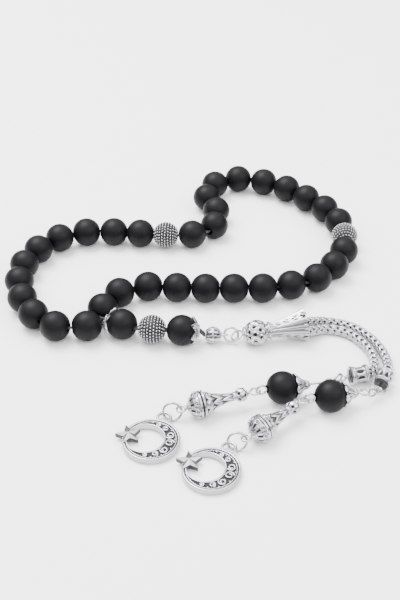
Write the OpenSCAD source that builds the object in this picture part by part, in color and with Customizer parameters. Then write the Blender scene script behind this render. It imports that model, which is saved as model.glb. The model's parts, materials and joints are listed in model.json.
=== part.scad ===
// Misbaha: a loop of 33 prayer beads on one cord, with a stem, a tassel head, two chains and
// two dangles that end in a crescent and star. It lies flat, as it is put down on a table.

/* [Beads] */
// Diameter of a prayer bead
bead_d = 10; // [9.8:0.1:10]
// Diameter of the flat round the mouths of a bead's hole
bead_flat_d = 3; // [2.9:0.1:3.2]
// Diameter of the hole through every bead
bore_d = 2.4; // [2.3:0.05:2.5]
// Room between neighbouring beads
bead_gap = 0.05; // [0.04:0.01:0.08]
// Diameter of a silver divider bead
divider_d = 9; // [8.6:0.1:9]

/* [Cord] */
// Diameter of the waxed cord
cord_d = 0.96; // [0.8:0.02:1]
// Diameter of the knot that holds the cord in its cover
knot_d = 3; // [2.4:0.2:3.4]

/* [Stem] */
// Radius of the petal caps that sit on the stem's end beads
petal_cap_r = 5.55; // [5.4:0.05:5.6]
// How far round the bead a petal reaches, in degrees from the hole
petal_reach = 50; // [40:1:52]
// Number of petals on a cap
petals = 6; // [5:1:8]
// Outer diameter of the knot cover
cover_d = 5.5; // [5:0.1:5.6]

/* [Tassel] */
// Diameter of the pierced ball on the tassel head
head_ball_d = 8; // [7.6:0.1:8.1]
// Length of the tassel head's flared tulip
tulip_l = 11; // [10:0.5:12]
// Radius over the corners at the tulip's mouth
tulip_r = 5; // [4.6:0.1:5]
// Width of one braided chain
chain_w = 3.2; // [2.8:0.1:3.3]
// Height of one braided chain
chain_h = 3; // [2.6:0.1:3.1]
// Length of the cap on a chain's end
end_cap_l = 5.6; // [5:0.2:6]

/* [Dangles] */
// Radius of a cone drop at its collar
drop_r = 4.2; // [3.8:0.1:4.2]
// Wire radius of the jump rings
ring_wire_r = 0.37; // [0.3:0.01:0.4]
// Radius of the jump rings to the middle of their wire
jump_ring_r = 2.75; // [2.6:0.05:2.8]
// Outer radius of a crescent
crescent_r = 8.3; // [7.8:0.1:8.4]
// Thickness of a crescent
crescent_t = 2; // [1.6:0.1:2]

/* [Hidden] */
bead_count = 33;
third = 11;                       // beads between two dividers
loop_count = bead_count + 2;
bead_r = bead_d / 2;
divider_r = divider_d / 2;
flat_r = bead_flat_d / 2;
bore_r = bore_d / 2;
bead_half = sqrt(bead_r * bead_r - flat_r * flat_r);
divider_half = sqrt(divider_r * divider_r - flat_r * flat_r);
strand_gap = 0.02;                // between the two strands in the stem
strand_side = cord_d / 2 + strand_gap;
cord_sides = 8;
chain_sides = 8;
line_steps = 12;                  // straight steps between two points of the route
round_fn = 64;
wire_fn = 24;
rest_h = bead_r;                  // height of the bead holes above the table
skin = 0.1;                       // depth to which one solid of a piece runs into the next
shift = [1.1, 0.4, 0];              // puts the middle of the whole object over the origin

// Where the loop runs, bead by bead round the table, from the stem and back to it
loop_route = [
    [-34.5, -14.5], [-45, -14.5], [-53, -7.5], [-57.5, 1.5], [-59.5, 11.5], [-58.5, 22],
    [-54, 31], [-47, 37.5], [-38, 40.5], [-28.5, 40.5], [-19, 39.5], [-9.5, 38.5], [-0.5, 39],
    [6.5, 43.5], [8.5, 53], [4.5, 64], [8, 74], [17, 78], [27, 75.5], [35.5, 70.5],
    [42.5, 63.5], [49, 55.5], [53, 46.5], [54, 37], [52.5, 27.5], [47.5, 18], [40.5, 11],
    [31.5, 7.5], [22, 6], [12.5, 6], [3, 6], [-6.5, 6.5], [-16, 7], [-25, 3.5], [-30, -4.5]];
// What the loop's line bends towards, past its first and its last bead
loop_from = [-28.2, -11.3];
loop_to = [-24.5, -11];
// The two bends of the cord between the loop's end beads and the stem's first cap
turn_in_first = [-29.4, -13.4, rest_h];
turn_in_last = [-30.1, -10.6, rest_h];
// The stem's beads: middle and heading
stem_top = [-23.1, -13.7, rest_h];
stem_top_heading = -24;
stem_middle = [-13.4, -16.2, rest_h];
stem_middle_heading = -6;
stem_end = [-3.8, -16.8, rest_h];
stem_end_heading = -3;
// The knot cover, the ring after it and the tassel head
cover_at = [6.2, -16.6, 2.9];
tassel_ring_at = [12, -16.5, 2.9];
tassel_ring_r = 2.25;
tassel_ring_lean = 35;
head_at = [20.1, -17, 4.15];
head_heading = 10;
head_rise = 4;
// Where the two chains run, from the head's mouth to their end caps
chain_route_right = [
    [33.9, -13, 5.3], [37.5, -11, 4], [41, -9, 2.5], [44.5, -8.5, 1.8], [48.5, -9.5, 1.7],
    [52, -11.5, 1.7], [55, -14.5, 1.7], [57.5, -18, 1.7], [59.5, -22.5, 1.7],
    [60.5, -27, 1.8], [60.5, -31.5, 2.3], [59.5, -35.5, 3]];
chain_route_left = [
    [34.5, -16.2, 4.9], [37.5, -15, 3.4], [41, -13, 2.2], [44, -12.5, 1.8], [47, -13, 1.7],
    [50, -14.5, 1.7], [52.5, -17, 1.7], [54.5, -20, 1.7], [56, -23.5, 1.7],
    [56.5, -27.5, 1.8], [56, -31.5, 2.1], [54.5, -34.5, 2.7], [53, -35.7, 3]];
// Each dangle: places and headings of its pieces, from the chain outwards
dangle_right = [[59.1, -36.1, 3.1], -114, [41, -48.3, rest_h], 13, 10.8,
                [32.75, -50.45, 5.2], -140, [12.65, -65.65, 3], [10.3, -66.6, 1.5], 60];
dangle_left = [[53.4, -35.6, 3.1], -164.5, [26.8, -44.5, rest_h], 14, 15.3,
               [18.45, -46.5, 5.2], -164, [-6.15, -53.1, 3], [-8.6, -54, 1.5], 70];

dangle_pieces = ["chain", "end_cap", "eye_pin", "bead_cap", "tassel_bead", "cone_drop",
                 "jump_ring", "crescent"];

function bead_name(i) = str("bead_", i < 10 ? "0" : "", i);
function unit(v) = v / norm(v);
function flat_xy(v) = [v.x, v.y];
function heading_of(v) = atan2(v.y, v.x);
function along(heading) = [cos(heading), sin(heading), 0];
function across(heading) = [-sin(heading), cos(heading), 0];

// A smooth line through the points of a route
function curve(p0, p1, p2, p3, t) =
    0.5 * (2 * p1 + (p2 - p0) * t + (2 * p0 - 5 * p1 + 4 * p2 - p3) * t * t
           + (3 * p1 - p0 - 3 * p2 + p3) * t * t * t);
function smooth_line(route, before, after, steps) =
    let (all = concat([before], route, [after]))
    concat([for (i = [0:len(route) - 2], k = [0:steps - 1])
               curve(all[i], all[i + 1], all[i + 2], all[i + 3], k / steps)],
           [route[len(route) - 1]]);
function free_line(route, steps) =
    let (n = len(route) - 1)
    smooth_line(route, 2 * route[0] - route[1], 2 * route[n] - route[n - 1], steps);
function line_dir(line, i) =
    unit(line[min(i + 1, len(line) - 1)] - line[max(i - 1, 0)]);

// The beads are strung on the line one after another, each as close as its bend allows
function beyond(line, i, from, d) =
    i >= len(line) - 1 || norm(line[i] - from) >= d ? i : beyond(line, i + 1, from, d);
function place_between(a, b, from, d) =
    let (run = b - a, back = a - from,
         half = (run * back) / (run * run),
         rest = (back * back - d * d) / (run * run))
    a + run * (sqrt(half * half - rest) - half);
function bend_between(u, v) = acos(min(1, u * v));
function by_divider(k) = k == third - 1 || k == third || k == 2 * third || k == 2 * third + 1;
function spacing(k, bend) =
    bead_d * cos(max(0, asin(flat_r / bead_r) - bend / 2)) + bead_gap
    - (by_divider(k) ? bead_r - divider_r - 0.05 : 0) + (k == 0 ? 0.2 : 0);
function string_beads(line, i, at, k, done) =
    k == loop_count - 1 ? concat(done, [[at, line_dir(line, i)]])
    : let (near = beyond(line, i, at, bead_d),
           bend = bend_between(line_dir(line, i), line_dir(line, near - 1)),
           d = spacing(k, bend),
           next = beyond(line, i, at, d))
      string_beads(line, next - 1, place_between(line[next - 1], line[next], at, d), k + 1,
                   concat(done, [[at, line_dir(line, i)]]));
loop_line = smooth_line(loop_route, loop_from, loop_to, line_steps);
strung = string_beads(loop_line, 0, loop_route[0], 0, []);

function is_divider(k) = k == third || k == 2 * third + 1;
function loop_place(k) = [strung[k][0].x, strung[k][0].y, rest_h];
function loop_dir(k) = [strung[k][1].x, strung[k][1].y, 0];
function bead_slot(i) = i - 1 + floor((i - 1) / third);

// The cord: straight in each bead's hole, bent in the gaps, and double in the stem
hold = 4.5;                       // half of the straight run in a bead
function in_stem(at, heading, ahead, side) =
    at + along(heading) * ahead + across(heading) * side * strand_side;
function strand(side) = [
    cover_at + [-cover_d / 2 - 0.1, side * strand_side, 0.3],
    in_stem(stem_end, stem_end_heading, petal_cap_r + 0.3, side),
    in_stem(stem_middle, stem_middle_heading, divider_half, side),
    in_stem(stem_middle, stem_middle_heading, -divider_half, side),
    in_stem(stem_top, stem_top_heading, bead_half, side),
    in_stem(stem_top, stem_top_heading, -petal_cap_r - 0.7, side)];
in_knot = cover_at + [-0.8, 0, 0.1];
cord_route = concat(
    [in_knot - [0, strand_side, 0]],
    strand(-1),
    [turn_in_first],
    [for (k = [0:loop_count - 1], end = [-hold, hold]) loop_place(k) + loop_dir(k) * end],
    [turn_in_last],
    [for (i = [5:-1:0]) strand(1)[i]],
    [in_knot + [0, strand_side, 0]]);

// A tube of a round or flattened section, swept along a list of points
function sweep_dir(route, i) =
    unit(unit(route[min(i + 1, len(route) - 1)] - route[max(i - 1, 0)]));
function sweep_ring(route, i, w, h, sides) =
    let (ahead = sweep_dir(route, i),
         side = unit(cross([0, 0, 1], ahead)),
         up = cross(ahead, side))
    [for (s = [0:sides - 1])
        let (a = 360 * (s + 0.5) / sides)
        route[i] + shift + side * cos(a) * w / 2 + up * sin(a) * h / 2];
module sweep(route, w, h, sides) {
    rings = len(route);
    polyhedron(
        points = [for (i = [0:rings - 1]) each sweep_ring(route, i, w, h, sides)],
        faces = concat(
            [[for (s = [0:sides - 1]) s]],
            [for (i = [0:rings - 2], s = [0:sides - 1])
                let (a = i * sides + s, b = i * sides + (s + 1) % sides)
                [a, a + sides, b + sides, b]],
            [[for (s = [sides - 1:-1:0]) (rings - 1) * sides + s]]),
        convexity = 10);
}

// Puts a piece that is drawn along +X at its place, turned to its heading and tipped up
module lay(at, heading, rise = 0)
    translate(at + shift) rotate([0, -rise, heading]) children();
// A shape of revolution about +X, from a profile of [distance along, radius]
module turned(profile)
    rotate([0, 90, 0]) rotate_extrude($fn = round_fn)
        polygon([for (p = profile) [p[1], p[0]]]);
module round_wire(r, wire_r)
    rotate_extrude($fn = round_fn) translate([r, 0]) circle(r = wire_r, $fn = wire_fn);
module rod(from, to, r)
    translate([from, 0, 0]) rotate([0, 90, 0]) cylinder(r = r, h = to - from, $fn = wire_fn);
module upright(lean = 0) rotate([90 - lean, 0, 0]) children();

// Beads: a ball with flats, and a hole that is broken at its mouths
module holed_ball(r, half) {
    broken = 0.25;
    rotate([0, 90, 0]) rotate_extrude($fn = round_fn)
        intersection() {
            circle(r = r, $fn = round_fn);
            polygon([[bore_r, broken - half], [bore_r, half - broken], [bore_r + broken, half],
                     [r + 1, half], [r + 1, -half], [bore_r + broken, -half]]);
        }
}
module black_bead() color("#242427") holed_ball(bead_r, bead_half);
module divider_bead() color("#a9abaf") holed_ball(divider_r, divider_half);
module loop_piece(k)
    lay(loop_place(k), heading_of(loop_dir(k)))
        if (is_divider(k)) divider_bead(); else black_bead();

// Petal cap: a thin dish on the bead, cut into petals, with a collar round its hole
module petal_cap() {
    wall_in = bead_r + 0.06;
    collar_r = 1.75;
    top = petal_cap_r + 0.25;
    reach_x = petal_cap_r * cos(petal_reach);
    notch_r = 1.3;
    color("#b4b6ba")
        difference() {
            rotate([0, 90, 0]) rotate_extrude($fn = round_fn)
                difference() {
                    union() {
                        intersection() {
                            circle(r = petal_cap_r, $fn = round_fn);
                            translate([bore_r, reach_x]) square([petal_cap_r, petal_cap_r]);
                        }
                        translate([bore_r, wall_in - 0.4])
                            square([collar_r - bore_r, top - wall_in + 0.4]);
                    }
                    circle(r = wall_in, $fn = round_fn);
                }
            for (i = [0:petals - 1])
                rotate([360 * (i + 0.5) / petals, 0, 0])
                    translate([reach_x, 0, 1])
                        cylinder(r = notch_r, h = petal_cap_r, $fn = wire_fn);
        }
}
module stem_cap_top() lay(stem_top, stem_top_heading + 180) petal_cap();
module stem_bead_top() lay(stem_top, stem_top_heading) black_bead();
module stem_divider() lay(stem_middle, stem_middle_heading) divider_bead();
module stem_bead_end() lay(stem_end, stem_end_heading) black_bead();
module stem_cap_end() lay(stem_end, stem_end_heading) petal_cap();

module cord()
    color("#161618") {
        sweep(cord_route, cord_d, cord_d, cord_sides);
        translate(cover_at + shift + [-0.3, 0, 0]) sphere(d = knot_d, $fn = wire_fn);
    }

// Knot cover: a pierced hollow ball that holds the knot, with an eye for the ring
module knot_cover() {
    r = cover_d / 2;
    wall = 0.5;
    windows = 8;
    eye_r = 1.1;
    color("#b4b6ba") lay(cover_at, 0) {
        difference() {
            sphere(r = r, $fn = round_fn);
            sphere(r = r - wall, $fn = round_fn);
            rod(-r - 1, 0, bore_r + 0.1);
            for (i = [0:windows - 1])
                rotate([360 * i / windows, 0, 0])
                    rotate([0, 0, 12])
                        translate([0, 0, r / 2]) cylinder(r = 0.42, h = r, $fn = wire_fn);
        }
        translate([r + 0.8, 0, 0]) rotate([-tassel_ring_lean, 0, 0]) round_wire(eye_r, 0.3);
    }
}
module tassel_ring()
    color("#b4b6ba") lay(tassel_ring_at, 0)
        upright(tassel_ring_lean) round_wire(tassel_ring_r, ring_wire_r);

// Tassel head: an eye, a pierced ball between two collars, and a six-sided flared tulip
module tassel_head() {
    r = head_ball_d / 2;
    wall = 0.6;
    neck_r = 2.6;
    neck_at = r + 0.5;
    mouth_at = neck_at + tulip_l;
    tulip_wall = 0.55;
    cell = 3;                     // depth of the pocket that the chains start from
    eye_r = 1.9;
    eye_at = [-6.2, 1.5, -1];
    color("#b4b6ba") lay(head_at, head_heading, head_rise) {
        difference() {
            sphere(r = r, $fn = round_fn);
            sphere(r = r - wall, $fn = round_fn);
            for (i = [0:5], row = [-35, 35])
                rotate([60 * i + row, 0, 0])
                    rotate([0, row, 0])
                        translate([0, 0, r / 2]) cylinder(r = 0.85, h = r, $fn = wire_fn);
        }
        rod(-r - 0.35, -r + 0.55, 2.3);
        rod(r - 0.45, neck_at + skin, neck_r);
        difference() {
            tulip(neck_at, mouth_at, 2.4, tulip_r);
            tulip(mouth_at - cell, mouth_at + skin, tulip_r - 0.75 - tulip_wall,
                  tulip_r - tulip_wall);
        }
        for (i = [0:5])
            rotate([60 * i, 0, 0])
                translate([mouth_at - 0.5, 0, tulip_r * cos(30) - 0.1])
                    rotate([90, 0, 0])
                        translate([0, 0, -0.6]) cylinder(r = 0.75, h = 1.2, $fn = wire_fn);
        translate(eye_at) rotate([0, -24, 0]) round_wire(eye_r, 0.4);
    }
}
module tulip(from, to, r1, r2)
    translate([from, 0, 0]) rotate([0, 90, 0]) rotate([0, 0, 30])
        cylinder(r1 = r1, r2 = r2, h = to - from, $fn = 6);

module chain(route) color("#aeb0b4") sweep(free_line(route, 2), chain_w, chain_h, chain_sides);

// End cap: a socket on the chain's end, a waist, a flared mouth and an eye
module end_cap(d) {
    socket_r = chain_w / 2 + 0.25;
    rim_r = 2.75;
    l = end_cap_l;
    color("#b4b6ba") lay(d[0], d[1]) {
        difference() {
            turned([[0, 0], [0, rim_r - 0.2], [0.6, rim_r - 0.1], [1, 2.5], [l - 2, 2.4],
                    [l - 0.8, rim_r], [l, rim_r], [l, 0]]);
            rod(-1, 1.8, socket_r);
            turned([[l - 1.4, 0], [l - 1.4, 1.2], [l + skin, 2.3], [l + skin, 0]]);
        }
        rod(l - 1.5, l + 1.6, 0.4);
        translate([l + 1.5 + cap_eye_r, 0, 0]) round_wire(cap_eye_r, 0.36);
    }
}
cap_eye_r = 1.35;
pin_dip = 3.6;                    // the pins fall towards the chains' ends
function cap_eye(d) = d[0] + along(d[1]) * (end_cap_l + 1.5 + cap_eye_r);

// Eye pin: the wire through the bead and its cap, an eye at each end, and the link ring
module eye_pin(d) {
    wire = 0.35;
    near_wire = 0.37;
    link_wire = 0.33;
    shank_r = 0.3;
    near_r = 1.3;
    far_r = 1.6;
    link_r = 1.85;
    near_edge = d[2] + along(d[3]) * (d[4] + near_r) * cos(pin_dip)
                - [0, 0, (d[4] + near_r) * sin(pin_dip)];
    reach = cap_eye(d) - near_edge;
    color("#b4b6ba") {
        lay(d[2], d[3], -pin_dip) {
            rod(-bead_r - 0.1, d[4] - near_r + 0.1, shank_r);
            translate([d[4], 0, 0]) round_wire(near_r, near_wire);
            translate([-bead_r - far_r, 0, 0]) upright() round_wire(far_r, wire);
        }
        lay(near_edge + unit(reach) * link_r, heading_of(reach), asin(unit(reach).z))
            upright() round_wire(link_r, link_wire);
    }
}
// Bead cap: a pierced cone that sits on the bead
module bead_cap(d) {
    base_at = 3.6;
    tip_at = 8.4;
    color("#b4b6ba") lay(d[2], d[3], -pin_dip)
        difference() {
            turned([[base_at, 0], [base_at, 3.7], [base_at + 0.7, 3.6], [6, 1.9], [tip_at, 1],
                    [tip_at, 0]]);
            sphere(r = bead_r + 0.06, $fn = round_fn);
            rod(0, tip_at + 1, 0.42);
        }
}
module tassel_bead(d) {
    color("#242427") lay(d[2], d[3], -pin_dip) holed_ball(bead_r, bead_half);
}
// Cone drop: an eye, a small ball, a cone that widens to a double collar, a dome and an eye
module cone_drop(d) {
    ball_at = 4.4;
    ball_r = 2.1;
    collar_at = 17;
    dome_l = 4.2;
    tip_at = collar_at + dome_l;
    drop_dip = 3.2;               // its collar rests on the table, lower than its front eye
    front_eye_r = 1.4;
    end_eye_r = 1.25;
    eye_wire = 0.37;
    color("#aeb0b4") lay(d[5], d[6], -drop_dip) {
        round_wire(front_eye_r, eye_wire);
        rod(front_eye_r, ball_at, 0.45);
        translate([ball_at, 0, 0]) rotate([0, 90, 0]) sphere(r = ball_r, $fn = round_fn);
        turned([[ball_at + 1.5, 0], [ball_at + 1.5, 1.1], [collar_at - 6, 1.7],
                [collar_at - 1.2, 3.3], [collar_at - 1.2, drop_r], [collar_at - 0.4, drop_r],
                [collar_at - 0.4, drop_r - 0.4], [collar_at, drop_r - 0.4],
                [collar_at, drop_r], [collar_at + 0.7, drop_r], [collar_at + 1, drop_r - 0.5],
                [tip_at - 1.6, 3], [tip_at - 0.5, 1.7], [tip_at, 0.8], [tip_at, 0]]);
        rod(tip_at - 0.5, tip_at + 0.7, 0.45);
        translate([tip_at + 0.5 + end_eye_r, 0, 0]) round_wire(end_eye_r, eye_wire);
    }
}
module jump_ring(d)
    color("#b4b6ba") lay(d[7], 0) upright(20) round_wire(jump_ring_r, ring_wire_r);

// Crescent with its star: drawn flat, its eye at the origin and its middle along +X
module crescent(d) {
    eye_r = 1.95;
    eye_wire = 0.42;
    crescent_dip = 1.4;           // its eye is held up by the jump ring
    middle = crescent_r + 1.9;
    hole_r = 5.4;
    hole_off = 1.75;
    horns = 274;                  // heading of the horns, seen from the crescent's middle
    star_r = 3.9;
    star_in = 1.7;
    star_off = 6.9;
    star_rise = 0.2;              // the star stands a little proud of the crescent
    color("#aeb0b4") lay(d[8], d[9] + 180, -crescent_dip) {
        round_wire(eye_r, eye_wire);
        translate([middle, 0, 0]) {
            difference() {
                translate([0, 0, -crescent_t / 2])
                    cylinder(r = crescent_r, h = crescent_t, $fn = round_fn);
                rotate([0, 0, horns]) translate([hole_off, 0, 0])
                    cylinder(r = hole_r, h = crescent_t + 2, center = true, $fn = round_fn);
                rotate([0, 0, horns]) rotate([0, 0, 180])
                    for (a = [-60, -30, 0, 30, 60])
                        rotate([0, 0, a]) translate([5.7, 0, 0])
                            cylinder(r = 0.9, h = crescent_t + 2, center = true, $fn = wire_fn);
            }
            rotate([0, 0, horns]) translate([star_off, 0, star_rise - crescent_t / 2])
                rotate([0, 0, 12]) linear_extrude(crescent_t)
                    polygon([for (i = [0:9])
                        (i % 2 == 0 ? star_r : star_in) * [cos(36 * i), sin(36 * i)]]);
        }
    }
}

cord();
for (i = [1:bead_count])
    loop_piece(bead_slot(i));
loop_piece(third);  // divider_first
loop_piece(2 * third + 1);  // divider_second
stem_cap_top();
stem_bead_top();
stem_divider();
stem_bead_end();
stem_cap_end();
knot_cover();
tassel_ring();
tassel_head();
chain(chain_route_left);  // chain_left
chain(chain_route_right);  // chain_right
end_cap(dangle_left);  // end_cap_left
end_cap(dangle_right);  // end_cap_right
eye_pin(dangle_left);  // eye_pin_left
eye_pin(dangle_right);  // eye_pin_right
bead_cap(dangle_left);  // bead_cap_left
bead_cap(dangle_right);  // bead_cap_right
tassel_bead(dangle_left);  // tassel_bead_left
tassel_bead(dangle_right);  // tassel_bead_right
cone_drop(dangle_left);  // cone_drop_left
cone_drop(dangle_right);  // cone_drop_right
jump_ring(dangle_left);  // jump_ring_left
jump_ring(dangle_right);  // jump_ring_right
crescent(dangle_left);  // crescent_left
crescent(dangle_right);  // crescent_right
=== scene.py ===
import json
import math

import bpy
from mathutils import Euler, Matrix, Vector


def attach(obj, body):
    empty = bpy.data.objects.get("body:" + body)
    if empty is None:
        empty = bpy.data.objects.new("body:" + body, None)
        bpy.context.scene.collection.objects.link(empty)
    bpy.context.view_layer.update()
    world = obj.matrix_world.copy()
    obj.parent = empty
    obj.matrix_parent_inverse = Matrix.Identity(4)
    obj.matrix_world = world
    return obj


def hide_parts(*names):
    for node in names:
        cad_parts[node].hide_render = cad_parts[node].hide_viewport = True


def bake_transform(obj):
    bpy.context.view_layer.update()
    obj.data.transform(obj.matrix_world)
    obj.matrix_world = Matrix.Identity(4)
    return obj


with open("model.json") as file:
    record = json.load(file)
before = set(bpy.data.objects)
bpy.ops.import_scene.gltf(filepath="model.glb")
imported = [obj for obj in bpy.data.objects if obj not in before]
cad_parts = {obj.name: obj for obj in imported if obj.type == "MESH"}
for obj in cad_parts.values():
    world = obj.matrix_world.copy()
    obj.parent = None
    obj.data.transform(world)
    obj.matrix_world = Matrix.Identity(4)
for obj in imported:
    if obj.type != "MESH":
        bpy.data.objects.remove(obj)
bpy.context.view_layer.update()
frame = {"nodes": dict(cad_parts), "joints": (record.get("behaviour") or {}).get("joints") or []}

bl_info = {
    "name": "Misbaha prayer beads",
    "version": (1, 0, 0),
    "blender": (4, 5, 0),
    "location": "3D View > Sidebar > Misbaha",
    "description": "Beads, silver pieces, chains and cord of a misbaha that lies on a table",
    "category": "Object",
}

MM = 0.001
TAU = 2 * math.pi
SHIFT = Vector((1.1, 0.4, 0))         # as in the CAD part: centres the object over the origin
LOOP = (["bead_%02d" % i for i in range(1, 12)] + ["divider_first"]
        + ["bead_%02d" % i for i in range(12, 23)] + ["divider_second"]
        + ["bead_%02d" % i for i in range(23, 34)])
SIDES = ("left", "right")
# Places of the silver pieces in mm: their point, heading and fall along that heading
COVER = ((6.2, -16.6, 2.9), 0, 0)
HEAD = ((20.1, -17, 4.15), 10, -4)
END_CAP = {"left": ((53.4, -35.6, 3.1), -164.5, 0), "right": ((59.1, -36.1, 3.1), -114, 0)}
TASSEL_PIN = {"left": ((26.8, -44.5, 5), 14, 3.6), "right": ((41, -48.3, 5), 13, 3.6)}
DROP = {"left": ((18.45, -46.5, 5.2), -164, 3.2), "right": ((32.75, -50.45, 5.2), -140, 3.2)}
CRESCENT = {"left": ((-8.6, -54, 1.5), 250, 1.4), "right": ((10.3, -66.6, 1.5), 240, 1.4)}
CHAIN_ROUTE = {
    "right": [(33.9, -13, 5.3), (37.5, -11, 4), (41, -9, 2.5), (44.5, -8.5, 1.8),
              (48.5, -9.5, 1.7), (52, -11.5, 1.7), (55, -14.5, 1.7), (57.5, -18, 1.7),
              (59.5, -22.5, 1.7), (60.5, -27, 1.8), (60.5, -31.5, 2.3), (59.5, -35.5, 3)],
    "left": [(34.5, -16.2, 4.9), (37.5, -15, 3.4), (41, -13, 2.2), (44, -12.5, 1.8),
             (47, -13, 1.7), (50, -14.5, 1.7), (52.5, -17, 1.7), (54.5, -20, 1.7),
             (56, -23.5, 1.7), (56.5, -27.5, 1.8), (56, -31.5, 2.1), (54.5, -34.5, 2.7),
             (53, -35.7, 3)],
}
JOINTS = {j["child"]: j for j in frame["joints"]}
DIVIDER_R = 4.5


# ---------------------------------------------------------------- settings

def size(name, text, value):
    return bpy.props.FloatProperty(name=name, description=text, default=value, min=0.01)


def colour(name, text, value):
    return bpy.props.FloatVectorProperty(name=name, description=text, default=value, size=3,
                                         subtype="COLOR", min=0, max=1)


class MisbahaSettings(bpy.types.PropertyGroup):
    dot_pitch: size("Dot pitch", "Room from dot to dot on a divider, in mm", 0.98)
    dot_r: size("Dot radius", "Radius of a divider's dot, in mm", 0.33)
    link_pitch: size("Link pitch", "Room from one turn of the braid to the next, in mm", 2.4)
    wire_r: size("Chain wire", "Radius of the chains' wire, in mm", 0.37)
    cord_r: size("Cord radius", "Radius of the waxed cord, in mm", 0.48)
    bead: colour("Bead", "Colour of the black beads", (0.002, 0.002, 0.0024))
    silver: colour("Silver", "Colour of the polished silver", (0.5, 0.505, 0.52))
    # The recess colour is the dark that the silver is painted where its mask is low: painted
    # shade in holes, gaps and hollows, with the oxide in its relief. The dividers' ground takes
    # it too.
    recess: colour("Recess", "Colour down in the silver's pattern", (0.008, 0.008, 0.009))
    cord: colour("Cord", "Colour of the cord", (0.008, 0.008, 0.009))
    floor: colour("Floor", "Colour of the floor", (0.95, 0.95, 0.95))


def settings():
    return bpy.context.scene.misbaha


# ---------------------------------------------------------------- shader maths

class Maths:
    """A shader socket that takes part in Python expressions."""

    def __init__(self, nodes, socket):
        self.nodes, self.socket = nodes, socket

    def _do(self, operation, *values):
        return self.nodes.new("ShaderNodeMath", {"operation": operation},
                              dict(enumerate(values)))

    def __add__(self, o): return self._do("ADD", self, o)
    def __radd__(self, o): return self._do("ADD", o, self)
    def __sub__(self, o): return self._do("SUBTRACT", self, o)
    def __rsub__(self, o): return self._do("SUBTRACT", o, self)
    def __mul__(self, o): return self._do("MULTIPLY", self, o)
    def __rmul__(self, o): return self._do("MULTIPLY", o, self)


class Nodes:
    """The node tree of a material or a world, emptied and ready for its shader."""

    def __init__(self, owner):
        owner.use_nodes = True
        self.owner = owner
        self.tree = owner.node_tree
        self.tree.nodes.clear()

    def new(self, kind, options=None, inputs=None, output=0):
        node = self.tree.nodes.new(kind)
        for key, value in (options or {}).items():
            if key == "stops":
                for place, (at, grey) in enumerate(value):
                    ramp = node.color_ramp.elements
                    stop = ramp[place] if place < len(ramp) else ramp.new(at)
                    stop.position = at
                    stop.color = (grey, grey, grey, 1)
            else:
                setattr(node, key, value)
        for key, value in (inputs or {}).items():
            self.put(node.inputs[key], value)
        return Maths(self, node.outputs[output]) if node.outputs else None

    def put(self, socket, value):
        if isinstance(value, Maths):
            self.tree.links.new(value.socket, socket)
        elif socket.type == "RGBA":
            socket.default_value = (*value, 1)
        else:
            socket.default_value = value

    def mix(self, amount, low, high):
        mixed = self.new("ShaderNodeMix", {"data_type": "RGBA"}, output=2)
        node = mixed.socket.node
        for key, value in ((0, amount), (6, low), (7, high)):
            self.put(node.inputs[key], value)
        return mixed

    def noise(self, scale, detail=3):
        place = self.new("ShaderNodeTexCoord", output=3)
        return self.new("ShaderNodeTexNoise", None,
                        {"Vector": place, "Scale": scale, "Detail": detail})

    def bump(self, height, strength, distance):
        return self.new("ShaderNodeBump", None,
                        {"Height": height, "Strength": strength, "Distance": distance})

    def finish(self, **inputs):
        shader = self.new("ShaderNodeBsdfPrincipled", None,
                          {key.replace("_", " "): value for key, value in inputs.items()})
        self.new("ShaderNodeOutputMaterial", None, {"Surface": shader})
        return self.owner


def material_nodes(name):
    return Nodes(bpy.data.materials.new(name))


def tinted(tone, strength):
    return tuple(strength * part for part in tone)


def bead_material():
    n = material_nodes("matt_black_bead")
    cloud, grain = n.noise(260), n.noise(2600, 2)
    tone = tuple(settings().bead)
    return n.finish(Base_Color=n.mix(cloud, tone, tinted(tone, 2.2)),
                    Roughness=0.42 + 0.12 * cloud,
                    Coat_Weight=0.02 + 0.03 * cloud, Coat_Roughness=0.5,
                    Specular_IOR_Level=0.1, Normal=n.bump(grain, 0.12, 0.00006))


def silver_material(name, rough=0.2):
    """Polished silver that is painted dark where the piece's mask is low: painted shade in holes,
    gaps, hollows and between wires, with the dark oxide in its relief.
    """
    n = material_nodes(name)
    shine = n.new("ShaderNodeAttribute", {"attribute_name": "shine"}, output=2)
    cloud, grain = n.noise(900), n.noise(3000, 2)
    shine = n.new("ShaderNodeValToRGB", {"stops": [(0.2, 0), (0.62, 1)]},
                  {"Fac": shine + 0.16 * (cloud - 0.5)})
    silver = tuple(settings().silver)
    lit = n.mix(cloud, tinted(silver, 0.86), silver)
    dull = 0.62                       # roughness down in the recesses
    # Where the mask is low the colour turns to the recess colour: painted shade, with oxide in
    # the relief.
    return n.finish(Base_Color=n.mix(shine, tuple(settings().recess), lit),
                    Metallic=0.35 + 0.65 * shine,
                    Roughness=dull - (dull - rough) * shine + 0.1 * cloud,
                    Normal=n.bump(grain, 0.15, 0.00005))


def wire_material():
    n = material_nodes("silver_wire")
    cloud, grain = n.noise(700), n.noise(2400, 2)
    silver = tuple(settings().silver)
    return n.finish(Base_Color=n.mix(cloud, tinted(silver, 0.7), silver),
                    Metallic=1.0, Roughness=0.18 + 0.14 * cloud,
                    Normal=n.bump(grain, 0.1, 0.00004))


def dark_ground_material():
    n = material_nodes("dark_ground")
    cloud = n.noise(1200)
    dark = tuple(settings().recess)
    return n.finish(Base_Color=n.mix(cloud, dark, tinted(dark, 2.5)), Metallic=0.5,
                    Roughness=0.5 + 0.2 * cloud)


def cord_material():
    n = material_nodes("waxed_cord")
    place = n.new("ShaderNodeTexCoord", output=3)
    twist = n.new("ShaderNodeTexWave", {"bands_direction": "DIAGONAL"},
                  {"Vector": place, "Scale": 900, "Distortion": 1.5})
    tone = tuple(settings().cord)
    return n.finish(Base_Color=n.mix(twist, tone, tinted(tone, 3)),
                    Roughness=0.5 + 0.2 * twist, Normal=n.bump(twist, 0.5, 0.0001))


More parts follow.
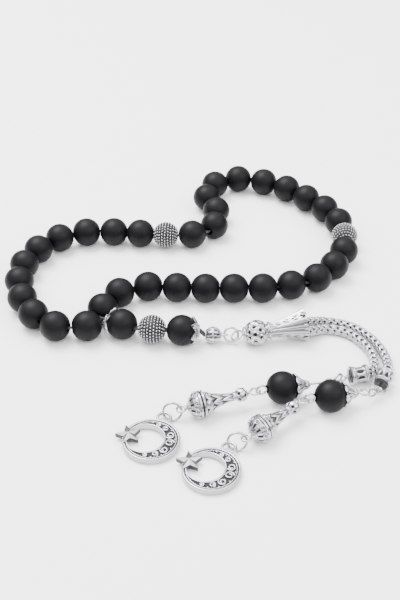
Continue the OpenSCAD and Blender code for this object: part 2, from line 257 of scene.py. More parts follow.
def floor_material():
    n = material_nodes("pale_floor")
    cloud = n.noise(14)
    tone = tuple(settings().floor)
    return n.finish(Base_Color=n.mix(cloud, tinted(tone, 0.985), tone),
                    Roughness=0.6 + 0.1 * cloud)


def studio_world():
    """A room that is bright overhead and darker towards the horizon."""
    n = Nodes(bpy.data.worlds.new("studio"))
    way = n.new("ShaderNodeTexCoord", output=0)
    height = n.new("ShaderNodeSeparateXYZ", None, {"Vector": way}, output=2)
    glow = n.new("ShaderNodeValToRGB", {"stops": [(0, 0.05), (0.3, 0.12), (0.55, 0.9), (1, 1)]},
                 {"Fac": height})
    light = n.new("ShaderNodeBackground", None, {"Color": glow, "Strength": 3.2})
    n.new("ShaderNodeOutputWorld", None, {"Surface": light})
    return n.owner


# ---------------------------------------------------------------- modelling helpers

def clear_selection():
    if bpy.context.object and bpy.context.object.mode != "OBJECT":
        bpy.ops.object.mode_set(mode="OBJECT")
    bpy.ops.object.select_all(action="DESELECT")


def only(o):
    clear_selection()
    o.select_set(True)
    bpy.context.view_layer.objects.active = o
    return o


def edit(o):
    only(o)
    bpy.ops.object.mode_set(mode="EDIT")
    bpy.ops.mesh.select_all(action="SELECT")


def leave():
    bpy.ops.object.mode_set(mode="OBJECT")


def new_object(name, points, edges):
    mesh = bpy.data.meshes.new(name)
    mesh.from_pydata(points, edges, [])
    o = bpy.data.objects.new(name, mesh)
    bpy.context.scene.collection.objects.link(o)
    return only(o)


def finely(profile, step):
    """The profile with points no further apart than step."""
    out = [profile[0]]
    for (x0, r0), (x1, r1) in zip(profile, profile[1:]):
        parts = max(1, math.ceil(math.hypot(x1 - x0, r1 - r0) / step))
        out += [(x0 + (x1 - x0) * k / parts, r0 + (r1 - r0) * k / parts)
                for k in range(1, parts + 1)]
    return out


def lathe(profile, relief=None, steps=96, step=0.3):
    """Spins a profile of (distance along X, radius) in mm, then moves its points and paints shade
    on them.
    relief(x, r, turn) gives the new x and r and how bright the silver is painted there."""
    points = finely(profile, step)
    o = new_object("lathe", [(x, 0, r) for x, r in points],
                   [(k, k + 1) for k in range(len(points) - 1)])
    edit(o)
    bpy.ops.mesh.spin(steps=steps, angle=TAU, center=(0, 0, 0), axis=(1, 0, 0))
    bpy.ops.mesh.select_all(action="SELECT")
    bpy.ops.mesh.remove_doubles(threshold=0.001)
    bpy.ops.mesh.normals_make_consistent(inside=False)
    leave()
    paint_light_and_oxide(o, 1)
    if relief:
        shine = o.data.attributes["shine"].data
        for v in o.data.vertices:
            x, y, z = v.co
            r, turn = math.hypot(y, z), math.atan2(y, z) % TAU
            x, r, bright = relief(x, r, turn)
            v.co = (x, r * math.sin(turn), r * math.cos(turn))
            shine[v.index].value = bright
    return smooth(o)


def smooth(o, angle=40):
    only(o)
    bpy.ops.object.shade_smooth_by_angle(angle=math.radians(angle))
    return o


def paint_light_and_oxide(o, value):
    """Paints how bright the silver is, from 0 in a recess to 1, all over a piece: low values are
    painted shade, with the oxide of a recess.
    """
    shine = o.data.attributes.get("shine") or o.data.attributes.new("shine", "FLOAT", "POINT")
    for entry in shine.data:
        entry.value = value
    return o


def bake_place(o):
    """Moves an object's place, turn and scale into its mesh."""
    o.data.transform(o.matrix_basis)
    o.matrix_basis = Matrix()
    return o


def torus(r, wire, at=(0, 0, 0), turn=(0, 0, 0), fine=(40, 12)):
    clear_selection()
    bpy.ops.mesh.primitive_torus_add(major_radius=r, minor_radius=wire, location=at,
                                     rotation=[math.radians(a) for a in turn],
                                     major_segments=fine[0], minor_segments=fine[1])
    o = bake_place(bpy.context.object)
    edit(o)
    bpy.ops.mesh.normals_make_consistent(inside=False)
    leave()
    return smooth(paint_light_and_oxide(o, 1), 80)


def ball(r, at=(0, 0, 0), fine=2, flat=1):
    clear_selection()
    bpy.ops.mesh.primitive_ico_sphere_add(radius=r, subdivisions=fine, location=at)
    o = bpy.context.object
    o.scale = (1, 1, flat)
    return smooth(paint_light_and_oxide(bake_place(o), 1), 80)


def rod(x0, x1, r):
    return lathe([(x0, 0), (x0, r), (x1, r), (x1, 0)], None, 20, 0.5 * (x1 - x0) + 0.1)


def moved(o, matrix):
    o.data.transform(matrix)
    return o


def copied(o, matrix):
    c = o.copy()
    c.data = o.data.copy()
    bpy.context.scene.collection.objects.link(c)
    return moved(c, matrix)


def joined(name, parts):
    clear_selection()
    for o in parts:
        o.select_set(True)
    bpy.context.view_layer.objects.active = parts[0]
    bpy.ops.object.join()
    o = bpy.context.object
    o.name = o.data.name = name
    return o


def around_x(count, first):
    """Matrices that repeat something evenly around the X axis, from the first one on."""
    return [Matrix.Rotation(TAU * k / count, 4, "X") @ first for k in range(count)]


def repeated(o, matrices):
    copies = [copied(o, m) for m in matrices]
    bpy.data.objects.remove(o)
    return copies


def laid(o, place):
    """Puts a piece that is modelled along +X in mm at its place on the table, in metres."""
    at, heading, fall = place
    turn = Euler((0, math.radians(fall), math.radians(heading))).to_matrix().to_4x4()
    o.data.transform(Matrix.Scale(MM, 4) @ Matrix.Translation(Vector(at) + SHIFT) @ turn)
    return o


def dress(o, body, nodes, material):
    """Gives a piece its finish, its body and the CAD nodes it stands for. A piece given no body
    keeps none."""
    o.data.materials.clear()
    o.data.materials.append(material)
    if body:
        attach(o, body)
    if nodes:
        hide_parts(*nodes)
    return o


def recoat(node, material):
    o = frame["nodes"][node]
    o.data.materials.clear()
    o.data.materials.append(material)


def joint_place(body):
    j = JOINTS[body]
    return Vector(j["pos_m"]), Vector(j["axis"]).normalized()


def along_joint(body):
    """The matrix that takes +X, in mm, to a bead's own hole."""
    at, axis = joint_place(body)
    turn = Vector((1, 0, 0)).rotation_difference(axis).to_matrix().to_4x4()
    return Matrix.Translation(at) @ turn @ Matrix.Scale(MM, 4)


def wave(value, low=0.0, high=1.0):
    return low + (high - low) * (0.5 + 0.5 * math.cos(value))


def step_up(value, low, high):
    t = min(1, max(0, (value - low) / (high - low)))
    return t * t * (3 - 2 * t)


def arc(radius, first, last, parts=14, at=0):
    """Profile points on a circle about (at, 0), from one polar angle to another in degrees."""
    out = []
    for k in range(parts + 1):
        a = math.radians(first + (last - first) * k / parts)
        out.append((at + radius * math.cos(a), max(0, radius * math.sin(a))))
    return out


# ---------------------------------------------------------------- the pieces

def petal_cap():
    """A dish of pointed petals with veins, and a collar round its hole."""
    petals, hole, rim, tip, notch = 6, 14, 52, 55, 33

    def relief(x, r, turn):
        size_, polar = math.hypot(x, r), math.degrees(math.atan2(r, x))
        side = abs((turn * petals / TAU) % 1 - 0.5) * 2
        along = (polar - hole) / (rim - hole)
        reach = tip - (tip - notch) * side
        polar = math.radians(hole + (reach - hole) * along)
        vein = wave(turn * petals * 5, -0.09, 0.09) * step_up(along, 0.1, 0.5)
        outer = step_up(size_, 5.2, 5.5)
        size_ += outer * (0.28 * (1 - side * side) * along + vein - 0.02)
        # Painted shade between the petals and over the inside of the dish; the veins are painted
        # dark, with their oxide.
        bright = 1 - 0.75 * step_up(side, 0.72, 1) * step_up(along, 0.05, 0.4)
        bright -= 0.5 * step_up(-vein, 0.02, 0.09)
        return size_ * math.cos(polar), size_ * math.sin(polar), bright * outer + 0.1
    profile = arc(5.5, hole, rim, 20) + arc(5.08, rim, hole, 20)
    shell = lathe(profile + [profile[0]], relief, 180, 0.25)
    collar = torus(1.55, 0.3, (5.5, 0, 0), (0, 90, 0), (48, 10))
    beads = repeated(ball(0.2, fine=1), around_x(12, Matrix.Translation((5.42, 0, 2.1))))
    return joined("petal_cap", [shell, collar] + beads)


def knot_cover():
    """A ball of ribs that fan out from its boss, with an eye."""
    ribs, r_ball = 12, 2.75

    def relief(x, r, turn):
        polar = math.degrees(math.atan2(r, x))
        rib = abs(math.cos(turn * ribs / 2))
        open_part = step_up(polar, 22, 34) * (1 - step_up(polar, 150, 160))
        band = 1 - step_up(abs(polar - 92), 4, 8)
        rib = max(rib, band)
        grow = 1 - 0.13 * open_part * (1 - step_up(rib, 0.35, 0.75))
        # The open parts between the ribs are shallow dents painted in shade.
        bright = 1 - open_part * (1 - step_up(rib, 0.4, 0.7))
        return x * grow, r * grow, bright
    shell = lathe(arc(r_ball, 0, 151, 40), relief, 144, 0.15)
    boss = lathe([(2.5, 0), (2.5, 0.95), (2.85, 0.9), (3, 0.5), (3, 0)], None, 40)
    mouth = torus(1.4, 0.2, (-2.4, 0, 0), (0, 90, 0))
    eye = torus(1.1, 0.3, (r_ball + 0.8, 0, 0), (-35, 0, 0))
    return joined("ribbed_knot_cover", [shell, boss, mouth, eye])


def openwork_ball(r_ball, rows, count, at=0, hole=13):
    """A ball with rows of round holes: shallow dents painted in shade inside."""
    def relief(x, r, turn):
        polar = math.degrees(math.atan2(r, x - at))
        nearest = 99
        for k, row in enumerate(rows):
            off = (turn * count / TAU + 0.5 * (k % 2)) % 1
            side = (off - 0.5) * 360 / count * math.sin(math.radians(row))
            nearest = min(nearest, math.hypot(polar - row, side))
        rim = 1 - step_up(abs(nearest - hole - 4), 0, 4)
        open_part = 1 - step_up(nearest, hole - 2, hole + 1)
        grow = 1 - 0.16 * open_part + 0.035 * rim
        return at + (x - at) * grow, r * grow, 1 - open_part
    return lathe(arc(r_ball, 0, 180, 56, at), relief, 168, 0.3)


def tulip():
    """The six-sided flared skirt, with leaf relief on every second panel."""
    wall_in, deep = 13.2, 3.1

    def flare(t):
        return 2.3 + 2.75 * t ** 1.5
    start, end = 4.6, 16
    outer = [(start + (end - start) * k / 24, flare(k / 24)) for k in range(25)]
    inner = [(end - 0.1, 4.55), (wall_in, deep), (wall_in, 0)]

    def relief(x, r, turn):
        panel = int(((math.degrees(turn) + 30) % 360) // 60)
        u = (math.degrees(turn) + 30) % 60 - 30
        flat = math.cos(math.radians(30)) / math.cos(math.radians(u))
        t = (x - start) / (end - start)
        skin = r > flare(max(0, t)) - 0.3
        r *= flat * (1.06 if skin else 1)
        # The inside of the skirt is painted in shade.
        if not skin:
            return x, r, 0.25
        side = abs(u) / 30
        ridge = step_up(side, 0.66, 0.78) * (1 - step_up(side, 0.9, 1))
        # Painted shade in the creases between the panels and beside the ridges.
        bright = 1 - 0.9 * step_up(side, 0.92, 1) - 0.5 * (1 - step_up(abs(side - 0.62), 0, 0.06))
        r += 0.16 * ridge
        # The low parts of the leaves and the stem's grooves are painted dark: oxide with painted
        # shade.
        if panel % 2 == 0:
            leaf = math.cos(x * 2.3 + 5 * side) * math.cos(side * 7)
            field = (1 - step_up(side, 0.5, 0.62)) * step_up(t, 0.08, 0.16)
            r += 0.13 * leaf * field
            bright -= 0.9 * field * step_up(-leaf, 0.05, 0.4)
        else:
            stem = 1 - step_up(side, 0.12, 0.22)
            r += 0.12 * stem
            bright -= 0.6 * (1 - step_up(abs(side - 0.3), 0, 0.07)) * step_up(t, 0.1, 0.25)
        return x, r, bright
    return lathe(outer + inner, relief, 216, 0.4)


def scroll(r, wire):
    """A flat scroll: a ring with a ball in its middle, its face along +Z."""
    return [torus(r, wire, fine=(28, 8)), ball(0.6 * (r - wire), (0, 0, 0.05), flat=0.8)]


def volute(r):
    """A C-shaped scroll that winds in to a ball, its face along +Z."""
    line = []
    for k in range(19):
        a = math.radians(-70 + 25 * k)
        out = r * (1 - 0.036 * k)
        line.append((out * math.cos(a), out * math.sin(a), 0.1 * math.sin(math.pi * k / 18)))
    return joined("volute", [paint_light_and_oxide(tube("scroll", line, 0.27, 2), 1),
                             ball(0.3, (*line[-1][:2], 0.05))])


def tassel_head():
    parts = [openwork_ball(4, (45, 75, 105, 135), 9, hole=9), tulip()]
    parts += [torus(2.15, 0.36, (-3.85, 0, 0), (0, 90, 0)),
              torus(1.7, 0.28, (-4.1, 0, 0), (0, 90, 0)),
              rod(-4.35, -3.4, 1.9), torus(2.5, 0.35, (4.1, 0, 0), (0, 90, 0)),
              torus(2.2, 0.3, (4.7, 0, 0), (0, 90, 0)), rod(3.5, 4.9, 2.3)]
    parts.append(torus(1.9, 0.34, (-6.2, 1.5, -1), (0, -24, 0)))
    for o in scroll(0.68, 0.27):
        parts += repeated(o, around_x(6, Matrix.Translation((15.5, 0, 4.75))))
    clear_selection()
    bpy.ops.mesh.primitive_cone_add(vertices=12, radius1=0.42, radius2=0.06, depth=1.5)
    spike = smooth(paint_light_and_oxide(bpy.context.object, 1))
    lean = Matrix.Translation((15.9, 0, 5.05)) @ Matrix.Rotation(math.radians(76), 4, "Y")
    parts += repeated(spike, [Matrix.Rotation(TAU / 12, 4, "X") @ m
                              for m in around_x(6, lean)])
    parts += repeated(ball(0.26), around_x(
        18, Matrix.Translation((4.4, 0, 2.75))))
    return joined("openwork_tassel_head", parts)


def end_cap():
    """A pierced socket between two double rims, with an eye; its windows are dents painted in
    shade.
    """
    length, windows = 5.6, 7
    profile = [(1.4, 0), (1.4, 2), (0, 2), (0, 2.7), (0.35, 2.85), (0.7, 2.6), (1, 2.75),
               (1.3, 2.45), (2.6, 2.3), (4, 2.5), (4.3, 2.8), (4.6, 2.6), (4.95, 2.95),
               (5.35, 3), (length, 2.7), (5.3, 2.3), (4.3, 1.1), (4.3, 0)]

    def relief(x, r, turn):
        body = step_up(x, 1.2, 1.5) * (1 - step_up(x, 3.6, 4)) * step_up(r, 2.1, 2.2)
        off = abs((turn * windows / TAU) % 1 - 0.5) * 2
        # The windows and the inside of the socket are painted in shade.
        hole = body * (1 - step_up(math.hypot((x - 2.6) / 1.3, off / 0.62), 0.85, 1.05))
        inside = 0.75 if (r < 2.05 or (x > 4.2 and r < 2.25)) else 0
        return x, r - 0.3 * hole, 1 - max(hole, inside)
    parts = [lathe(profile, relief, 140, 0.2), rod(4.2, 7.2, 0.4),
             torus(1.35, 0.36, (length + 2.85, 0, 0))]
    parts += repeated(ball(0.2, fine=1), around_x(
        20, Matrix.Translation((5.15, 0, 2.98))))
    return joined("pierced_end_cap", parts)


def bead_cap():
    """A pierced cone of narrow petals that sits on a bead."""
    petals = 8

    def relief(x, r, turn):
        t = step_up(x, 3.6, 8.2)
        side = abs((turn * petals / TAU) % 1 - 0.5) * 2
        # Painted shade in the gaps between the petals near the bead and in each petal's piercing.
        bright = 1 - step_up(side, 0.6, 0.85) * (1 - t) - 0.7 * (
            1 - step_up(math.hypot(side / 0.4, (x - 5.3) / 0.8), 0.8, 1.1))
        r *= 1 + 0.07 * (1 - side) - 0.06 * step_up(side, 0.7, 1)
        x += (0.55 * side - 0.2) * (1 - step_up(x, 3.6, 4.8))
        return x, r, bright
    profile = [(3.75, 3.4), (3.6, 3.7), (4.1, 3.75), (4.8, 3.1), (5.6, 2.4), (6.4, 1.75),
               (7.2, 1.35), (7.4, 1.5), (7.7, 1.45), (7.9, 1.15), (8.3, 1), (8.4, 0.45)]
    parts = [lathe(profile, relief, 128, 0.2), torus(0.75, 0.26, (8.35, 0, 0), (0, 90, 0))]
    parts += repeated(ball(0.22, fine=1), around_x(
        16, Matrix.Translation((3.95, 0, 3.8))))
    return joined("petal_bead_cap", parts)


def drop():
    """A cone drop: pierced ball, cone with scrolls, double collar and a dome with bosses."""
    ball_at, collar, tip = 4.4, 17, 21.2

    def cone(x, r, turn):
        t = (x - ball_at) / (collar - ball_at)
        if 0.2 < t < 0.9:
            panel = turn * 6 / TAU % 1
            side = abs(panel - 0.5) * 2
            ridge = step_up(side, 0.8, 0.95)
            curl = math.sin(x * 2.1 + 4.2 * (1 - side)) * (1 - ridge)
            # The low parts of the scrolls are painted dark: oxide with painted shade.
            bright = 1 - 0.95 * step_up(-curl, 0.1, 0.5)
            return x, r + 0.14 * curl + 0.16 * ridge, bright
        # Painted shade in the collar's groove.
        groove = 1 - step_up(abs(x - collar + 0.15), 0.1, 0.3)
        if x > collar + 0.9:
            off = turn * 9 / TAU % 1
            leaf = abs(off - 0.5) * 2
            t = (x - collar - 0.9) / 3
            # The dome's leaves are dents painted in shade.
            dark = step_up(leaf, 0.62 - 0.2 * t, 0.8 - 0.2 * t) * (1 - step_up(t, 0.7, 0.95))
            return x, r - 0.18 * dark, 1 - dark
        return x, r, 1 - groove
    profile = [(5.8, 0), (5.8, 1.25), (6.6, 1.35), (7, 1.15), (9, 1.35), (11, 1.75), (13, 2.35),
               (14.6, 3), (15.4, 3.4), (15.8, 3.9), (16.1, 4.2), (16.5, 4.2), (16.8, 3.75),
               (17.1, 4.2), (17.6, 4.2), (17.9, 3.8), (18.4, 3.75), (19.4, 3.2), (20.2, 2.4),
               (20.8, 1.5), (tip, 0.8), (21.7, 0.6), (21.7, 0)]
    parts = [lathe(profile, cone, 144, 0.2), openwork_ball(2.1, (60, 120), 6, ball_at, 15),
             rod(1.4, 3, 0.45), torus(1.4, 0.37), torus(1.25, 0.37, (tip + 1.75, 0, 0)),
             torus(0.75, 0.22, (2.4, 0, 0), (0, 90, 0))]
    for x, r in ((16.3, 4.05), (17.35, 4.05)):
        parts += repeated(ball(0.17, fine=1), around_x(
        44, Matrix.Translation((x, 0, r))))
    outward = Matrix.Translation((18.6, 0, 3.75)) @ Matrix.Rotation(math.radians(28), 4, "Y")
    for o in scroll(0.62, 0.22):
        parts += repeated(o, around_x(9, outward))
    curl = Matrix.Translation((14.4, 0, 3.0)) @ Matrix.Rotation(math.radians(-25), 4, "Y")
    for o in scroll(0.68, 0.22):
        parts += repeated(o, around_x(6, curl))
    return joined("cone_drop_silver", parts)


def star():
    """A five-pointed star with sharp ridges, standing on its own plate."""
    point, dent = 3.9, 1.7
    parts = []
    for r1, r2, depth, z in ((1, 0, 0.8, 1.4), (1, 1, 1.5, 0.25)):
        clear_selection()
        bpy.ops.mesh.primitive_cone_add(vertices=10, radius1=point * r1, radius2=point * r2,
                                        depth=depth, location=(0, 0, z))
        o = bake_place(bpy.context.object)
        for v in o.data.vertices:
            a = math.degrees(math.atan2(v.co.y, v.co.x))
            if v.co.xy.length > 1 and round((a - 90) / 36) % 2:
                v.co.xy *= dent / point
        # The star's plate beneath its points is painted in shade.
        parts.append(paint_light_and_oxide(o, 0.25 if r2 else 1))
    return joined("star", parts)


def crescent_plate(middle, hole, r_out, r_in, low, thick, bright):
    """A flat crescent between two circles."""
    clear_selection()
    bpy.ops.mesh.primitive_circle_add(vertices=112, radius=r_out, location=middle)
    outer = bake_place(bpy.context.object)
    clear_selection()
    bpy.ops.mesh.primitive_circle_add(vertices=112, radius=r_in, location=hole)
    plate = joined("crescent_plate", [outer, bake_place(bpy.context.object)])
    edit(plate)
    bpy.ops.mesh.bridge_edge_loops()
    bpy.ops.mesh.select_all(action="SELECT")
    bpy.ops.mesh.extrude_region_move(TRANSFORM_OT_translate={"value": (0, 0, thick)})
    bpy.ops.mesh.select_all(action="SELECT")
    bpy.ops.transform.translate(value=(0, 0, low))
    bpy.ops.mesh.normals_make_consistent(inside=False)
    leave()
    return smooth(paint_light_and_oxide(plate, bright), 30)


def crescent():
    """The eye at the origin and the crescent's middle along +X, as it lies flat."""
    middle, r_out, r_in, off, horns = Vector((10.2, 0, 0)), 8.3, 5.4, 1.75, math.radians(274)
    hole = middle + off * Vector((math.cos(horns), math.sin(horns), 0))
    parts = [crescent_plate(middle, hole, r_out, r_in, -1, 1.5, 1)]
    # Thin dark plates: painted shade on the underside that faces the table, and on the ground
    # between the scrolls on top, with its oxide.
    for low in (-1.04, 0.48):
        parts.append(crescent_plate(middle, hole, r_out - 0.35, r_in + 0.3, low, 0.06, 0))
    for r, wire, z, at in ((r_out - 0.3, 0.34, 0.6, middle), (r_out - 0.3, 0.34, -0.66, middle),
                           (r_out - 1.05, 0.16, 0.6, middle), (r_in + 0.28, 0.3, 0.6, hole)):
        parts.append(torus(r, wire, at + Vector((0, 0, z)), fine=(112, 10)))
    edge = ball(0.27, fine=1)
    parts += repeated(edge, [Matrix.Translation(middle + Vector(
        (r_out * math.cos(TAU * k / 72), r_out * math.sin(TAU * k / 72), 0.55)))
        for k in range(72)])
    for k, (a, r) in enumerate(((-88, 0.7), (-62, 0.95), (-32, 1.25), (0, 1.4), (32, 1.25),
                                (62, 0.95), (88, 0.7))):
        way = horns + math.pi + math.radians(a)
        across = -off * math.cos(math.radians(a)) + math.sqrt(
            r_in ** 2 - (off * math.sin(math.radians(a))) ** 2)
        ahead = Vector((math.cos(way), math.sin(way), 0))
        at = middle + ahead * (across + r_out - 0.8) / 2 + Vector((0, 0, 0.62))
        turn = Matrix.Rotation(way + math.radians(90 if k % 2 else -90), 4, "Z")
        parts.append(moved(volute(r), Matrix.Translation(at) @ turn))
        between = way + math.radians(15)
        tip = middle + Vector((math.cos(between), math.sin(between), 0)) * 6.9
        parts.append(ball(0.34, tip + Vector((0, 0, 0.55))))
    points = middle + 6.9 * Vector((math.cos(horns), math.sin(horns), 0))
    turn = Matrix.Rotation(horns + math.radians(12 - 90), 4, "Z")
    parts.append(moved(star(), Matrix.Translation(points + Vector((0, 0, 0.1))) @ turn))
    parts.append(torus(1.95, 0.46, fine=(56, 14)))
    return joined("crescent_and_star", parts)


def dots(radius):
    """The dots of a divider, row by row about its hole."""
    s = settings()
    dot = ball(s.dot_r, fine=1, flat=0.9)
    rows = round(math.pi * radius * 0.78 / s.dot_pitch)
    matrices = []
    for row in range(rows):
        polar = math.radians(24 + 132 * row / (rows - 1))
        count = round(TAU * radius * math.sin(math.radians(70)) / s.dot_pitch)
        count = max(10, round(count * math.sin(polar)))
        for k in range(count):
            lift = Matrix.Rotation(polar, 4, "Y") @ Matrix.Translation((0, 0, radius - 0.04))
            upright = Matrix.Rotation(math.radians(90), 4, "Y")
            matrices.append(Matrix.Rotation(TAU * k / count, 4, "X") @ upright @ lift)
    return joined("dots", repeated(dot, matrices))


def spline(route, steps):
    """Points on a smooth line through a route."""
    points = [Vector(p) for p in route]
    points = [2 * points[0] - points[1]] + points + [2 * points[-1] - points[-2]]
    out = []
    for a, b, c, d in zip(points, points[1:], points[2:], points[3:]):
        for k in range(steps):
            t = k / steps
            out.append(0.5 * (2 * b + (c - a) * t + (2 * a - 5 * b + 4 * c - d) * t * t
                              + (3 * b - a - 3 * c + d) * t ** 3))
    return out + [points[-2]]


def evenly(line, pitch):
    """(point, direction) every pitch along a line."""
    out, left = [], 0.0
    for a, b in zip(line, line[1:]):
        run = (b - a).length
        while left <= run:
            out.append((a + (b - a) * (left / run), (b - a).normalized()))
            left += pitch
        left -= run
    return out


def chain_loops():
    """One turn of the braid: four V-shaped loops, their points towards the tassel head."""
    s = settings()
    half = [(2.7, 1.12, -0.15), (2.1, 1.15, 0.35), (1.4, 0.92, 0.8), (0.6, 0.52, 1.06),
            (0, 0.2, 1.1), (-0.25, 0, 1.02)]
    path = half + [(x, -y, z) for x, y, z in half[-2::-1]]
    loop = paint_light_and_oxide(tube("loop", path, s.wire_r, 2), 1)
    shine = loop.data.attributes["shine"].data
    # Painted shade: the wire is darker near the braid's core, between the loops.
    for v in loop.data.vertices:
        shine[v.index].value = step_up(math.hypot(v.co.y, v.co.z), 0.8, 1.3)
    turns = [Matrix.Translation((s.link_pitch / 2 * (k % 2), 0, 0))
             @ Matrix.Rotation(math.radians(90 * k), 4, "X") for k in range(4)]
    return joined("loops", repeated(loop, turns))


def chain(side):
    s = settings()
    line = spline(CHAIN_ROUTE[side], 12)
    link, parts = chain_loops(), []
    for at, ahead in evenly(line, s.link_pitch)[:-1]:
        across = Vector((0, 0, 1)).cross(ahead).normalized()
        up = ahead.cross(across)
        turn = Matrix((ahead, across, up)).transposed().to_4x4()
        parts.append(copied(link, Matrix.Translation(at) @ turn))
    bpy.data.objects.remove(link)
    # A dark tube down the braid's middle, painted in shade, stands for the shade seen through its
    # gaps.
    core = tube("core", [p for p, _ in evenly(line, 0.8)] + [line[-1]], 0.95)
    parts.append(paint_light_and_oxide(core, 0))
    o = joined("braided_chain_" + side, parts)
    o.data.transform(Matrix.Scale(MM, 4) @ Matrix.Translation(SHIFT))
    return o


def tube(name, points, radius, sides=4):
    """A round tube along points, made from a bevelled curve."""
    curve = bpy.data.curves.new(name, "CURVE")
    curve.dimensions = "3D"
    curve.bevel_depth, curve.bevel_resolution, curve.use_fill_caps = radius, sides, True
    line = curve.splines.new("POLY")
    line.points.add(len(points) - 1)
    for place, p in zip(line.points, points):
        place.co = (*p, 1)
    o = bpy.data.objects.new(name, curve)
    bpy.context.scene.collection.objects.link(o)
    only(o)
    bpy.ops.object.convert(target="MESH")
    return smooth(bpy.context.object, 60)


def cord():
    """The cord: single through the loop, double through the stem, knotted in its cover."""
    s = settings()
    straight, strand = 4.5 * MM, (s.cord_r + 0.02) * MM
    cover = (Vector(COVER[0]) + SHIFT) * MM
    turn_first = (Vector((-29.4, -13.4, 5)) + SHIFT) * MM
    turn_last = (Vector((-30.1, -10.6, 5)) + SHIFT) * MM

    def stem_line(sign):
        side = Vector((0, sign, 0)) * strand
        out = [cover + Vector((-0.8, 0, 0.1)) * MM + side,
               cover + Vector((-2.85, 0, 0.3)) * MM + side]
        for body, ends in (("stem_bead_end", (5.85,)), ("stem_divider", (4.24, -4.24)),
                           ("stem_bead_top", (4.77, -6.25))):
            at, axis = joint_place(body)
            across = Vector((-axis.y, axis.x, 0)) * sign * strand
            out += [at + axis * end * MM + across for end in ends]
        return out
    line = stem_line(-1) + [turn_first]
    for body in LOOP:
        at, axis = joint_place(body)
        line += [at - axis * straight, at + axis * straight]
    line += [turn_last] + stem_line(1)[::-1]
    loop = tube("cord_loop", line, s.cord_r * MM, 3)
    knot = []
    for k in range(60):
        a = TAU * k / 60
        knot.append(cover + 0.36 * MM * Vector((
            1.6 * math.cos(3 * a) - 0.8, math.sin(a) + 2 * math.sin(2 * a),
            math.cos(a) - 2 * math.cos(2 * a))))
    return joined("waxed_cord", [loop, tube("knot", knot + [knot[0]], 0.42 * MM, 3)])


# ---------------------------------------------------------------- operators

def light(name, at, power, width):
    """A soft square light that looks at the origin."""
    lamp = bpy.data.lights.new(name, "AREA")
    lamp.energy, lamp.size = power, width
    o = bpy.data.objects.new(name, lamp)
    o.location = at
    o.rotation_euler = (-Vector(at)).to_track_quat("-Z", "Y").to_euler()
    bpy.context.scene.collection.objects.link(o)


def camera(aim, away, rise):
    """A camera that looks along +Y and down at the aim, from so far away."""
    lens = bpy.data.cameras.new("camera")
    lens.lens, lens.sensor_width, lens.clip_start = 66.6, 36, 0.01
    o = bpy.data.objects.new("camera", lens)
    o.location = aim + away * Vector((0, -math.cos(rise), math.sin(rise)))
    o.rotation_euler = (aim - o.location).to_track_quat("-Z", "Y").to_euler()
    bpy.context.scene.collection.objects.link(o)
    return o


def make_pairs(make, places, node, name, material):
    """Makes a silver piece once and lays a copy of it at each side's place."""
    master = make()
    for side in SIDES:
        o = laid(copied(master, Matrix()), places[side])
        o.name = o.data.name = name + side
        dress(o, node + side, [node + side], material)
    bpy.data.objects.remove(master)


class MISBAHA_OT_stage(bpy.types.Operator):
    """Adds the floor, the lights and the camera"""
    bl_idname = "misbaha.stage"
    bl_label = "Stage"

    def execute(self, context):
        clear_selection()
        bpy.ops.mesh.primitive_plane_add(size=6)
        floor = bpy.context.object
        floor.name = "floor"
        floor.data.materials.append(floor_material())
        light("key", (-0.25, 0.25, 0.75), 17, 0.5)
        light("fill", (0.5, -0.3, 0.6), 4, 0.6)
        context.scene.world = studio_world()
        aim = Vector((3.1, 6.4, 0)) * MM
        context.scene.camera = camera(aim, 0.377, math.radians(36.85))
        return {"FINISHED"}


class MISBAHA_OT_cord(bpy.types.Operator):
    """Makes the waxed cord and its knot"""
    bl_idname = "misbaha.cord"
    bl_label = "Cord"

    def execute(self, context):
        dress(cord(), "cord", ["cord"], cord_material())
        return {"FINISHED"}


class MISBAHA_OT_beads(bpy.types.Operator):
    """Gives the black beads their finish"""
    bl_idname = "misbaha.beads"
    bl_label = "Beads"

    def execute(self, context):
        material = bead_material()
        for node in LOOP + ["stem_bead_top", "stem_bead_end", "tassel_bead_left",
                            "tassel_bead_right"]:
            if not node.startswith("divider"):
                recoat(node, material)
        return {"FINISHED"}


class MISBAHA_OT_dividers(bpy.types.Operator):
    """Covers the dividers with silver dots"""
    bl_idname = "misbaha.dividers"
    bl_label = "Dividers"

    def execute(self, context):
        ground, silver = dark_ground_material(), silver_material("divider_dots", 0.16)
        master = dots(DIVIDER_R)
        for body in ("divider_first", "divider_second", "stem_divider"):
            recoat(body, ground)
            o = copied(master, along_joint(body))
            o.name = o.data.name = body + "_dots"
            dress(o, body, (), silver)
        bpy.data.objects.remove(master)
        return {"FINISHED"}


class MISBAHA_OT_stem_caps(bpy.types.Operator):
    """Makes the petal caps on the stem"""
    bl_idname = "misbaha.stem_caps"
    bl_label = "Stem caps"

    def execute(self, context):
        silver = silver_material("cast_silver_petals")
        master = petal_cap()
        for body, turn in (("stem_cap_top", math.pi), ("stem_cap_end", 0)):
            o = copied(master, along_joint(body) @ Matrix.Rotation(turn, 4, "Z"))
            o.name = o.data.name = body + "_petals"
            dress(o, body, [body], silver)
        bpy.data.objects.remove(master)
        return {"FINISHED"}


class MISBAHA_OT_head(bpy.types.Operator):
    """Makes the knot cover and the tassel head"""
    bl_idname = "misbaha.head"
    bl_label = "Tassel head"

    def execute(self, context):
        silver = silver_material("cast_silver_head")
        dress(laid(knot_cover(), COVER), "knot_cover", ["knot_cover"], silver)
        dress(laid(tassel_head(), HEAD), "tassel_head", ["tassel_head"], silver)
        return {"FINISHED"}


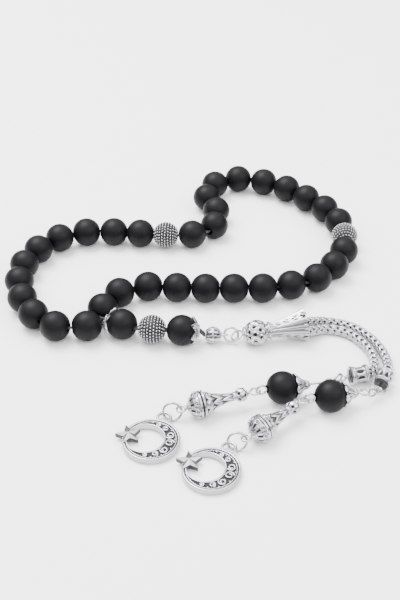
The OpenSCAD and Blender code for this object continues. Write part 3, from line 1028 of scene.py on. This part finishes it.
class MISBAHA_OT_wires(bpy.types.Operator):
    """Gives the rings and the eye pins their finish"""
    bl_idname = "misbaha.wires"
    bl_label = "Rings and pins"

    def execute(self, context):
        silver = wire_material()
        recoat("tassel_ring", silver)
        for side in SIDES:
            recoat("jump_ring_" + side, silver)
            recoat("eye_pin_" + side, silver)
        return {"FINISHED"}


class MISBAHA_OT_chains(bpy.types.Operator):
    """Braids the two chains"""
    bl_idname = "misbaha.chains"
    bl_label = "Chains"

    def execute(self, context):
        silver = silver_material("braided_silver", 0.22)
        for side in SIDES:
            o = dress(chain(side), None, ["chain_" + side], silver)
            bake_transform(o)
        return {"FINISHED"}


class MISBAHA_OT_end_caps(bpy.types.Operator):
    """Makes the caps on the chains' ends"""
    bl_idname = "misbaha.end_caps"
    bl_label = "End caps"

    def execute(self, context):
        make_pairs(end_cap, END_CAP, "end_cap_", "pierced_end_cap_",
                   silver_material("cast_silver_caps"))
        return {"FINISHED"}


class MISBAHA_OT_bead_caps(bpy.types.Operator):
    """Makes the caps on the tassel beads"""
    bl_idname = "misbaha.bead_caps"
    bl_label = "Bead caps"

    def execute(self, context):
        make_pairs(bead_cap, TASSEL_PIN, "bead_cap_", "petal_bead_cap_",
                   silver_material("cast_silver_bead_caps"))
        return {"FINISHED"}


class MISBAHA_OT_drops(bpy.types.Operator):
    """Makes the two cone drops"""
    bl_idname = "misbaha.drops"
    bl_label = "Cone drops"

    def execute(self, context):
        make_pairs(drop, DROP, "cone_drop_", "scrolled_cone_",
                   silver_material("cast_silver_cones"))
        return {"FINISHED"}


class MISBAHA_OT_crescents(bpy.types.Operator):
    """Makes the crescents with their stars"""
    bl_idname = "misbaha.crescents"
    bl_label = "Crescents"

    def execute(self, context):
        make_pairs(crescent, CRESCENT, "crescent_", "crescent_and_star_",
                   silver_material("cast_silver_crescents"))
        return {"FINISHED"}


# In the order in which they run
OPERATORS = (MISBAHA_OT_stage, MISBAHA_OT_cord, MISBAHA_OT_beads, MISBAHA_OT_dividers,
             MISBAHA_OT_stem_caps, MISBAHA_OT_head, MISBAHA_OT_wires, MISBAHA_OT_chains,
             MISBAHA_OT_end_caps, MISBAHA_OT_bead_caps, MISBAHA_OT_drops, MISBAHA_OT_crescents)


class MISBAHA_PT_panel(bpy.types.Panel):
    """Lists the misbaha's pieces and their settings"""
    bl_idname = "MISBAHA_PT_panel"
    bl_label = "Misbaha"
    bl_space_type = "VIEW_3D"
    bl_region_type = "UI"
    bl_category = "Misbaha"

    def draw(self, context):
        for key in MisbahaSettings.__annotations__:
            self.layout.prop(context.scene.misbaha, key)
        for step in OPERATORS:
            self.layout.operator(step.bl_idname)


CLASSES = (MisbahaSettings, *OPERATORS, MISBAHA_PT_panel)


def register():
    for c in CLASSES:
        bpy.utils.register_class(c)
    bpy.types.Scene.misbaha = bpy.props.PointerProperty(type=MisbahaSettings)


def unregister():
    del bpy.types.Scene.misbaha
    for c in reversed(CLASSES):
        bpy.utils.unregister_class(c)


def main():
    register()
    for step in OPERATORS:
        getattr(bpy.ops.misbaha, step.bl_idname.split(".")[1])()
    bpy.context.view_layer.update()


if __name__ == "__main__":
    main()
